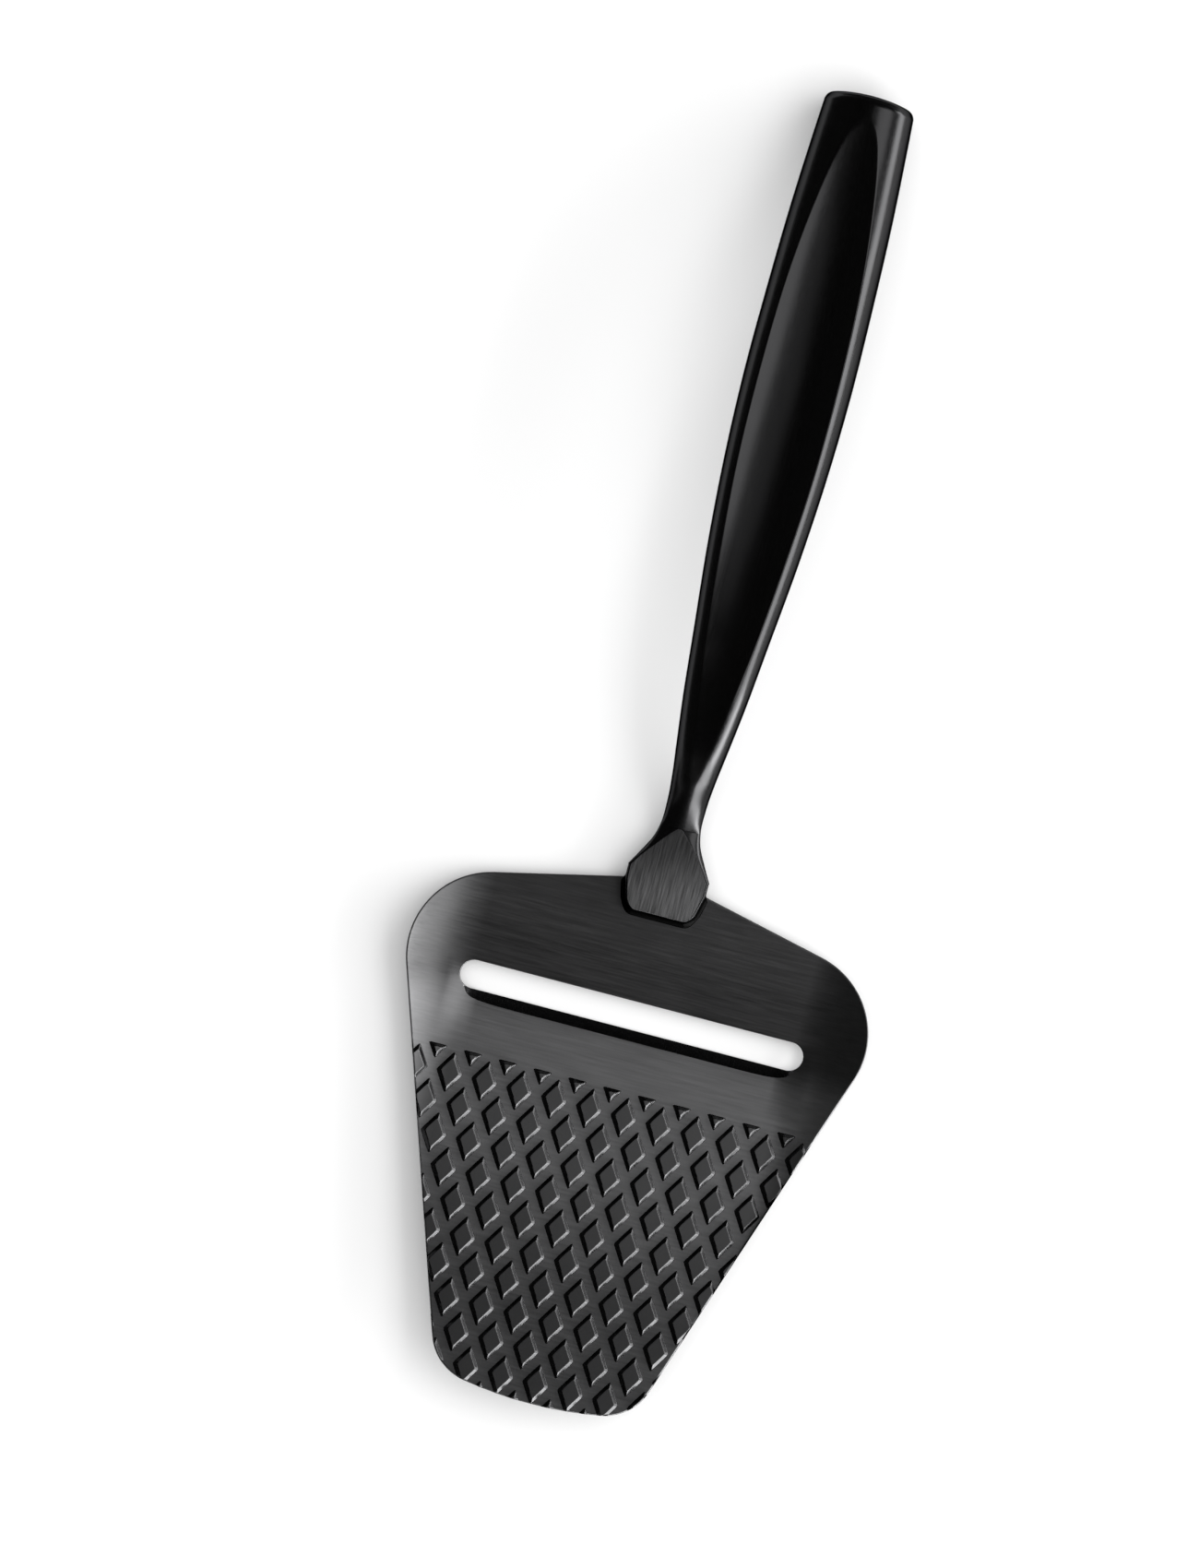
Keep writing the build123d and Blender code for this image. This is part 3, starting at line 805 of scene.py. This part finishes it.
# the section still changes toward the end, so its edge settles in three rounds
for again in range(3):
    rim = ring_at(edge_y)
    edge_y = dome(rim[:, 0], rim[:, 2])
side_run = edge_y - END_ROUND - last[:, 1]
side_rings = [ring_at(last[:, 1] + side_run * share) for share in (0.5, 1.0)]


def moved_in(depth):
    # the rim's points moved toward the middle of the end
    arm = rim[:, [0, 2]] - heart
    reach = np.linalg.norm(arm, axis=1)[:, None]
    return heart + arm * np.maximum(reach - depth, 0) / reach


end_rings = []
for angle in np.radians(EDGE_TURNS):
    flat = moved_in(END_ROUND * (1 - math.cos(angle)))
    y = dome(flat[:, 0], flat[:, 1]) - END_ROUND * (1 - math.sin(angle))
    end_rings.append(np.stack((flat[:, 0], y, flat[:, 1]), axis=1))
edge_arm = end_rings[-1][:, [0, 2]] - heart
for share in DOME_SHARES:
    flat = heart + edge_arm * share
    end_rings.append(np.stack((flat[:, 0], dome(flat[:, 0], flat[:, 1]), flat[:, 1]), axis=1))
outer = np.concatenate((body, np.array(side_rings), np.array(end_rings)))
print("handle ends at y =", round(float(outer[:, :, 1].max()), 2))

# %% [markdown]
# The shells are one millimetre thick, and the inside is the same form moved inward. The
# shading normals come from the whole form before it is split, which hides the seam.

# %% The skin and its lining
WALL = 1.0
# the lining closes toward one point, ring by ring
LINING_SHARES = np.array((0.9, 0.7, 0.45, 0.2, 0.0))[:, None, None]


def grid_normals(grid):
    along = np.gradient(grid, axis=0)
    around = np.roll(grid, -1, axis=1) - np.roll(grid, 1, axis=1)
    normal = np.cross(along, around)
    # places without area face forward
    normal[np.linalg.norm(normal, axis=2) < TINY] = (0, -1, 0)
    return unit(normal)


normals = grid_normals(outer)
normals[-1] = (0, 1, 0)
inner = outer - normals * WALL
lining_end = np.array((0, HANDLE_END - 2 * WALL, heart[1]))
inner[:, :, 1] = np.minimum(outer[:, :, 1], lining_end[1])
closing = len(LINING_SHARES)
inner[-closing:] = inner[-closing - 1] * LINING_SHARES + lining_end * (1 - LINING_SHARES)
joint_row = len(front_rows) - 1
print("the shells start at y =", JOINT, "and are", WALL, "mm thick")

# %% [markdown]
# Each half is the skin, the lining and narrow strips between them at the seam. A boolean
# cut through a whole handle would give the same halves with a ragged mesh.

# %% The two half shells
def grid_faces(rows, columns, first=0, closed=False, flipped=False):
    faces = []
    for row in range(rows - 1):
        for column in range(columns if closed else columns - 1):
            after = (column + 1) % columns
            a, b = first + row * columns + column, first + row * columns + after
            face = (a, a + columns, b + columns, b)
            faces.append(face[::-1] if flipped else face)
    return faces


def half_shell(name, columns):
    skin, lining = outer[joint_row:, columns], inner[joint_row:, columns]
    rows, count = skin.shape[:2]
    size = rows * count
    faces = grid_faces(rows, count) + grid_faces(rows, count, size, flipped=True)
    for row in range(rows - 1):
        a, b = row * count, (row + 1) * count
        faces.append((b, a, a + size, b + size))
        a, b = a + count - 1, b + count - 1
        faces.append((a, b, b + size, a + size))
    faces += [(c, c + 1, c + 1 + size, c + size) for c in range(count - 1)]
    # each last row is one point, so its faces become triangles
    tip = (rows - 1) * count
    own = np.minimum(np.arange(size), tip)
    same = np.concatenate((own, tip + 1 + own))
    faces = [tuple(dict.fromkeys(int(same[v]) for v in face)) for face in faces]
    faces = [face for face in faces if len(face) > 2]
    points = [side.reshape(-1, 3)[: tip + 1] for side in (skin, lining)]
    shading = normals[joint_row:, columns].reshape(-1, 3)[: tip + 1]
    return new_piece(name, np.concatenate(points), faces, np.concatenate((shading, -shading)))


over_top = slice(0, over_count)
under_side = [over_count - 1, *range(over_count, outer.shape[1]), 0]
upper_shell = half_shell("handle_upper_half", over_top)
lower_shell = half_shell("handle_lower_half", under_side)
print("shell faces:", len(upper_shell.data.polygons), "and", len(lower_shell.data.polygons))

# %% [markdown]
# The neck is solid, and a tang goes on from it into the hollow handle. Its rings are the
# handle's own, moved inward by the wall and a tenth of a millimetre.

# %% The neck and its tang
TANG_RINGS, TANG_CLEARANCE = 18, 0.1
tang_rows = slice(joint_row, joint_row + TANG_RINGS)
tang = outer[tang_rows] - normals[tang_rows] * (WALL + TANG_CLEARANCE)
neck_grid = np.concatenate((outer[: joint_row + 1], tang))
neck_shading = np.concatenate((normals[: joint_row + 1], normals[tang_rows]))
rows, columns = neck_grid.shape[:2]
neck_faces = grid_faces(rows, columns, closed=True)
last_ring = range((rows - 1) * columns, rows * columns)
neck_faces += [tuple(range(columns)), tuple(last_ring)[::-1]]
neck_points = neck_grid.reshape(-1, 3)
neck = new_piece("neck_with_foot", neck_points, neck_faces, neck_shading.reshape(-1, 3))
for piece, replaced in (
    (upper_shell, "handle_upper_shell"),
    (lower_shell, "handle_lower_shell"),
    (neck, "neck_and_foot"),
):
    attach(piece, "root")
    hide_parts(replaced)
    print(piece.name, len(piece.data.polygons), "faces")

# %% [markdown]
# The finish is a very thin black coating over brushed steel. It reflects like a dark
# metal: little light straight back, and the brushing spreads each reflection. A metal
# shader with a dark colour does this. Fine long scratches come from noise that is
# stretched along the brushing, which moves both the roughness and the bump.

# %% Helpers for shader nodes
def node(tree, kind, inputs=(), **settings):
    made = tree.nodes.new(kind)
    for key, value in settings.items():
        setattr(made, key, value)
    for key, value in dict(inputs).items():
        if isinstance(value, bpy.types.NodeSocket):
            tree.links.new(value, made.inputs[key])
        else:
            made.inputs[key].default_value = value
    return made


def new_tree(material):
    material.use_nodes = True
    material.node_tree.nodes.clear()
    return material.node_tree


def math_node(tree, operation, *values):
    return node(tree, "ShaderNodeMath", enumerate(values), operation=operation).outputs[0]


def mixed_colour(tree, share, first, second, blend="MIX"):
    inputs = {"Fac": share, "Color1": first, "Color2": second}
    return node(tree, "ShaderNodeMixRGB", inputs, blend_type=blend).outputs[0]


def brushed_noise(tree, stretch, detail):
    # noise in millimetres, drawn out along the brushing
    place = node(tree, "ShaderNodeTexCoord").outputs["Object"]
    inputs = {"Vector": place, "Scale": [1000 * s for s in stretch]}
    mapped = node(tree, "ShaderNodeMapping", inputs).outputs[0]
    inputs = {"Vector": mapped, "Scale": 1.0, "Detail": detail}
    return node(tree, "ShaderNodeTexNoise", inputs).outputs["Fac"]


def ranged(tree, value, ends, results, **settings):
    limits = dict(zip(("From Min", "From Max", "To Min", "To Max"), (*ends, *results)))
    return node(tree, "ShaderNodeMapRange", {"Value": value, **limits}, **settings).outputs[0]


def spread(tree, noise, low, high):
    # noise keeps to its middle half, so that half is spread over the whole range
    return ranged(tree, noise, (0.25, 0.75), (low, high))


def paler_share(tree, paler_zone):
    # how far each place lies in the paler zone: soft steps from not at all to fully, then less at
    # the tip
    place = node(tree, "ShaderNodeTexCoord").outputs["Object"]
    along = node(tree, "ShaderNodeSeparateXYZ", {0: place}).outputs["Y"]
    steps = []
    for places, results in ((paler_zone["between"], (0, 1)), (paler_zone["last"], (1, paler_zone["left"]))):
        ends = [on_table(0, y, 0)[1] for y in places]
        steps.append(ranged(tree, along, ends, results, interpolation_type="SMOOTHSTEP"))
    return math_node(tree, "MULTIPLY", *steps)


print("shader helpers made")

# %% [markdown]
# One recipe gives every finish. Roughness and colour follow the brushing, and the bump is slight.
# Along a given stretch the colour turns paler and the finish more matt and less bumpy; on the
# blade that paler colour is painted sheen.

# %% Black coated steel
BUMP_STRENGTH, CLOUD, CLOUD_ROUGHNESS = 0.35, (0.09, 0.09, 0.09), 0.02


def coated_steel(name, shade, roughness, scratch, stretch, depth, paler_zone=None, edge=0.25):
    material = bpy.data.materials.new(name)
    tree = new_tree(material)
    fine = brushed_noise(tree, stretch, 3.0)
    cloud = brushed_noise(tree, CLOUD, 4.0)
    scratched = spread(tree, fine, -scratch, scratch)
    clouded = spread(tree, cloud, roughness - CLOUD_ROUGHNESS, roughness + CLOUD_ROUGHNESS)
    rough = math_node(tree, "ADD", scratched, clouded)
    tint = (*shade, 1)
    strength = BUMP_STRENGTH
    # the paler zone paints a lighter colour, which on the blade is painted sheen
    if paler_zone:
        share = paler_share(tree, paler_zone)
        tint = mixed_colour(tree, share, tint, (*paler_zone["shade"], 1))
        rough = math_node(tree, "MULTIPLY_ADD", share, paler_zone["rougher"], rough)
        if paler_zone["smoother"]:
            strength = math_node(tree, "MULTIPLY_ADD", share, -paler_zone["smoother"], BUMP_STRENGTH)
    inputs = {"Strength": strength, "Distance": depth * MM, "Height": fine}
    bump = node(tree, "ShaderNodeBump", inputs).outputs[0]
    streak = spread(tree, fine, 1 - 2 * scratch, 1 + 2 * scratch)
    tint = mixed_colour(tree, 1.0, tint, streak, "MULTIPLY")
    inputs = {"Base Color": tint, "Roughness": rough, "Normal": bump, "Metallic": 1.0}
    inputs["Specular Tint"] = (edge, edge, edge, 1)
    shader = node(tree, "ShaderNodeBsdfPrincipled", inputs).outputs[0]
    node(tree, "ShaderNodeOutputMaterial", {"Surface": shader})
    return material


weld_finish = coated_steel("bare_weld_steel", (0.5, 0.49, 0.48), 0.5, 0.1, (3.0, 3.0, 3.0), 0.02)
print("nodes in one finish:", len(weld_finish.node_tree.nodes))

# %% [markdown]
# The sheet is brushed and the diamonds are pressed smooth. Ahead of the slot both get painted
# sheen, a paler colour, and a more matt finish. The diamonds' walls and the bevel get painted
# shade, a near-black colour, and shine more.

# %% Finishes of the blade
# painted sheen: ahead of the slot the sheet and the diamonds are painted paler where the tongue
# catches light, and turn more matt and less bumpy
SHEEN_AHEAD_OF_SLOT = {"between": (0.0, -7.0), "last": (-22.0, -56.0), "left": 0.3, "smoother": 0.3}
SHEET_SHEEN = {**SHEEN_AHEAD_OF_SLOT, "shade": (0.275, 0.275, 0.28), "rougher": 0.12}
PAD_SHEEN = {**SHEEN_AHEAD_OF_SLOT, "shade": (0.20, 0.20, 0.203), "rougher": 0.06}
# shade, roughness, scratches, stretch of the noise, depth of the bump, paler zone, edge
blade_finishes = [coated_steel(*recipe) for recipe in (
    ("black_brushed_sheet", (0.14, 0.14, 0.142), 0.38, 0.05, (0.12, 3.0, 1.0), 0.004, SHEET_SHEEN),
    ("black_pressed_pad", (0.12, 0.12, 0.122), 0.34, 0.0, (0.8, 0.8, 0.8), 0.002, PAD_SHEEN),
    # the bevel: a near-black colour that is painted shade
    ("black_ground_edge", (0.04, 0.04, 0.041), 0.26, 0.02, (3.0, 0.3, 0.3), 0.001, None, 0.1),
    # the diamonds' walls: a near-black colour that is painted shade
    ("black_pad_wall", (0.046, 0.046, 0.047), 0.22, 0.0, (0.8, 0.8, 0.8), 0.001),
)]
print("blade finishes:", [finish.name for finish in blade_finishes])

# %% [markdown]
# The handle is satin, brushed along its length. The foot's face is ground so coarsely that it
# looks grey, and the band round it is painted near-black as shadow.

# %% Finishes of the handle, the foot and the painted shadow round it
# the foot's ground face is painted paler toward its front
FOOT_PALER_AHEAD = {**SHEEN_AHEAD_OF_SLOT, "between": (31.0, 20.0), "left": 1.0, "smoother": 0}
FOOT_PALER_AHEAD.update({"shade": (0.27, 0.27, 0.274), "rougher": 0.02})
neck_finishes = [coated_steel(*recipe) for recipe in (
    ("black_satin_handle", (0.04, 0.04, 0.041), 0.22, 0.03, (4.0, 0.06, 4.0), 0.002),
    ("black_ground_foot", (0.11, 0.11, 0.112), 0.43, 0.11, (4.0, 0.10, 4.0), 0.06, FOOT_PALER_AHEAD),
    # painted shadow round the foot: near black
    ("black_foot_seam", (0.006, 0.006, 0.006), 0.45, 0.05, (2.0, 2.0, 2.0), 0.005, None, 0.02),
)]
print("neck finishes:", [finish.name for finish in neck_finishes])

# %% [markdown]
# Each face has a number that says which finish on its piece's list it wears.

# %% Give every piece its finishes
GROUND_REACH, GROUND_ABOVE, SHADOW_BAND_BELOW, SHADOW_BAND_AHEAD = 0.03, 2.0, 0.9, 24.4
for target, finishes in (
    (blade, blade_finishes),
    (upper_shell, neck_finishes[:1]),
    (lower_shell, neck_finishes[:1]),
    (neck, neck_finishes),
    (frame["nodes"]["weld_nuggets"], [weld_finish]),
):
    target.data.materials.clear()
    for finish in finishes:
        target.data.materials.append(finish)
face_finish = np.zeros(len(blade_faces), np.int32)
# the walls and the bevel take the finishes with painted shade
face_finish[: len(on_pad)] = on_pad + 2 * on_wall + 2 * on_bevel
blade.data.polygons.foreach_set("material_index", face_finish)
neck_x, neck_y, neck_z = neck_points.T
face_half = slice_sizes(neck_y)[6] + GROUND_REACH
ground = (np.abs(neck_x) < face_half) & (neck_z > GROUND_ABOVE) & (neck_y < SADDLE)
# faces low round the foot's front get the painted shadow
painted_shadow_band = (neck_z < SHADOW_BAND_BELOW) & (neck_y < SHADOW_BAND_AHEAD)
for polygon in neck.data.polygons:
    corners = list(polygon.vertices)
    polygon.material_index = 1 if ground[corners].all() else 2 if painted_shadow_band[corners].all() else 0
print("finishes:", [m.name for m in bpy.data.materials])

# %% [markdown]
# The photograph was taken straight down on the blade with a long lens, and the slicer
# leans to the right by almost fifteen degrees. The camera looks along the normal of
# the foot's flat face, and its upright is turned against the slicer by that angle.

# %% The camera
PICTURE_LEAN = math.radians(14.65)
PICTURE_MIDDLE = (-15.2, 36.6, 0.0)
PICTURE_HEIGHT = 265.9
LENS, SENSOR = 300.0, 36.0

camera_data = bpy.data.cameras.new("camera")
camera_data.lens, camera_data.sensor_width = LENS, SENSOR
camera = placed("camera", camera_data)
bpy.context.scene.camera = camera
right = Vector(turn_to_table(math.cos(PICTURE_LEAN), math.sin(PICTURE_LEAN), 0))
upward = Vector(turn_to_table(-math.sin(PICTURE_LEAN), math.cos(PICTURE_LEAN), 0))
toward_eye = Vector(turn_to_table(0, 0, 1))
distance = PICTURE_HEIGHT * MM * LENS / SENSOR
facing = Matrix((right, upward, toward_eye)).transposed().to_4x4()
eye = Vector(on_table(*PICTURE_MIDDLE)) + toward_eye * distance
camera.matrix_world = Matrix.Translation(eye) @ facing
print("camera", round(distance, 3), "m above the blade")

# %% [markdown]
# Black gloss shows only what surrounds it. Photographers of dark metal set a few soft
# panels round it and close off the rest with dark cloth. Here a long panel low at the
# side draws the bright lines, one above it lights the sheet, one in front catches the
# bends, and a weak one overhead fills in. The one in front would wash out the floor, so
# it shows in gloss alone.

# %% Soft panels
# turn from +X toward +Y, angle off vertical, width and height in metres, brightness
PANELS = {
    "side_panel": (-4.0, 74.0, 2.5, 0.32, 7.0),
    "top_panel": (14.0, 40.0, 1.5, 0.45, 1.9),
    "front_panel": (-50.0, 83.0, 1.2, 0.24, 11.0),
    "over_panel": (36.0, 17.0, 0.45, 0.4, 0.32),
}
PANEL_REACH = 1.0


def soft_panel(name, azimuth, off_vertical, wide, tall, brightness):
    turn, down = math.radians(azimuth), math.radians(off_vertical)
    level = math.sin(down)
    direction = Vector((level * math.cos(turn), level * math.sin(turn), math.cos(down)))
    data = bpy.data.lights.new(name, "AREA")
    data.shape, data.size, data.size_y = "RECTANGLE", wide, tall
    data.energy = brightness * math.pi * wide * tall
    across = Vector((0, 0, 1)).cross(direction).normalized()
    facing = Matrix((across, direction.cross(across), direction)).transposed().to_4x4()
    lamp = placed(name, data)
    lamp.matrix_world = Matrix.Translation(direction * PANEL_REACH) @ facing
    lamp.visible_camera = False
    lamp.visible_diffuse = name != "front_panel"
    print(name, "stands at", [round(v, 2) for v in lamp.matrix_world.translation])


for name, settings in PANELS.items():
    soft_panel(name, *settings)

# %% [markdown]
# In the photograph the slicer lies on plain white. Pale paper comes close, and keeps a
# soft shadow under it.

# %% Pale floor
REACH = 8.0


def stage_sheet(name, corners, material):
    mesh = bpy.data.meshes.new(name)
    mesh.from_pydata(corners, [], [tuple(range(len(corners)))])
    mesh.materials.append(material)
    sheet = placed(name, mesh)
    return sheet


floor_material = bpy.data.materials.new("pale_floor")
tree = new_tree(floor_material)
paper = node(tree, "ShaderNodeBsdfDiffuse", {"Color": (0.9, 0.9, 0.9, 1)})
node(tree, "ShaderNodeOutputMaterial", {"Surface": paper.outputs[0]})
corners = [(-REACH, -REACH, 0), (REACH, -REACH, 0), (REACH, REACH, 0), (-REACH, REACH, 0)]
floor = stage_sheet("floor", corners, floor_material)
print("floor:", 2 * REACH, "m wide")

# %% [markdown]
# Dark cloth on four sides and overhead gives the steel something black to mirror. It
# glows a little, because no cloth is quite black. The camera looks through it.

# %% Dark cloth
CLOTH_GLOW = 0.012
cloth_material = bpy.data.materials.new("dark_cloth")
tree = new_tree(cloth_material)
cloth = node(tree, "ShaderNodeBsdfDiffuse", {"Color": (0.02, 0.02, 0.02, 1)})
haze = node(tree, "ShaderNodeEmission", {"Color": (1, 1, 1, 1), "Strength": CLOTH_GLOW})
both = node(tree, "ShaderNodeAddShader", {0: cloth.outputs[0], 1: haze.outputs[0]})
node(tree, "ShaderNodeOutputMaterial", {"Surface": both.outputs[0]})
# left, right, height and half the depth, in metres
L, R, H, D = -0.35, 1.6, 1.6, 1.6
cloths = {
    "cloth_left": [(L, -D, 0), (L, D, 0), (L, D, H), (L, -D, H)],
    "cloth_top": [(L, -D, H), (L, D, H), (R, D, H), (R, -D, H)],
    "cloth_rear": [(L, D, 0), (R, D, 0), (R, D, H), (L, D, H)],
    "cloth_front": [(L, -D, 0), (R, -D, 0), (R, -D, H), (L, -D, H)],
    "cloth_right": [(R, -D, 0), (R, D, 0), (R, D, H), (R, -D, H)],
}
for name, corners in cloths.items():
    sheet = stage_sheet(name, corners, cloth_material)
    sheet.visible_camera = False
    sheet.visible_shadow = False
    sheet.visible_diffuse = False
print("cloths:", list(cloths))

# %% [markdown]
# The room is white where the camera or a reflection meets it, and a little dimmer as a
# light, which keeps the backdrop white and the shadow soft.

# %% The room
ROOM_LIGHT = 0.82


def seen_share(tree):
    # one for rays from the camera, from gloss and through glass, and zero for the rest
    path = node(tree, "ShaderNodeLightPath").outputs
    direct = math_node(tree, "MAXIMUM", path["Is Camera Ray"], path["Is Glossy Ray"])
    return math_node(tree, "MAXIMUM", direct, path["Is Transmission Ray"])


world = bpy.data.worlds.new("studio")
bpy.context.scene.world = world
tree = new_tree(world)
dim = node(tree, "ShaderNodeBackground", {"Color": (1, 1, 1, 1), "Strength": ROOM_LIGHT})
white = node(tree, "ShaderNodeBackground", {"Color": (1, 1, 1, 1), "Strength": 1.0})
inputs = {0: seen_share(tree), 1: dim.outputs[0], 2: white.outputs[0]}
mixed = node(tree, "ShaderNodeMixShader", inputs)
node(tree, "ShaderNodeOutputWorld", {"Surface": mixed.outputs[0]})
bpy.context.scene.view_settings.view_transform = "Standard"
print("stage set, light of the room:", ROOM_LIGHT)
